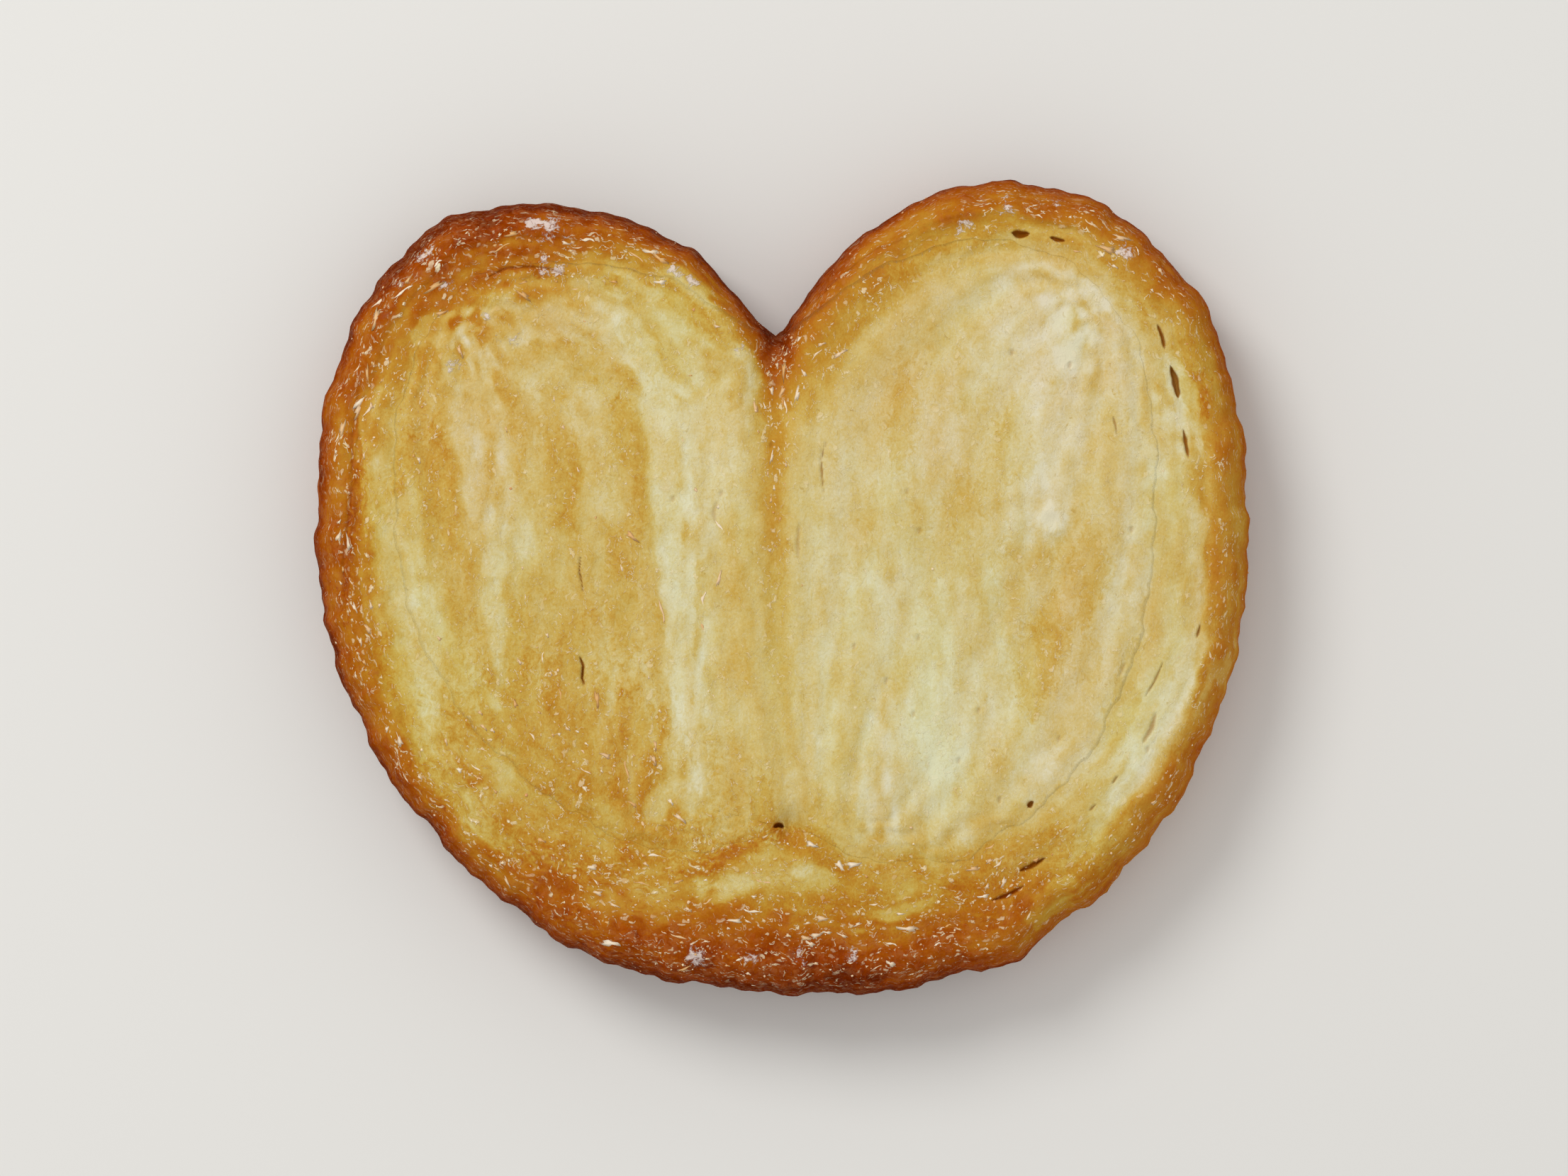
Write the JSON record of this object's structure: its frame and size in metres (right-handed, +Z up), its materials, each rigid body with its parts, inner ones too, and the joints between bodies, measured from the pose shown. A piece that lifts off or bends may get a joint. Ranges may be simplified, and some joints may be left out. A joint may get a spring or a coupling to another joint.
{
  "type": "palmier",
  "caption": "Heart-shaped slice of rolled puff pastry with flaky layers wound in from both sides, a seam between the rolls and a browned, sugared crust.",
  "frame": {"origin": "on the surface the slice lies on, under the middle of its outline's box", "axes": "+Z up through the slice's thickness, +Y towards the notch of the heart, +X to the right roll"},
  "size_m": [0.0764, 0.0668, 0.011],
  "materials": {
    "pastry": "baked puff pastry: cream and straw layers, golden to red-brown crust, sugar grains"
  },
  "bodies": {
    "root": {"palmier": "pastry"}
  },
  "joints": []
}
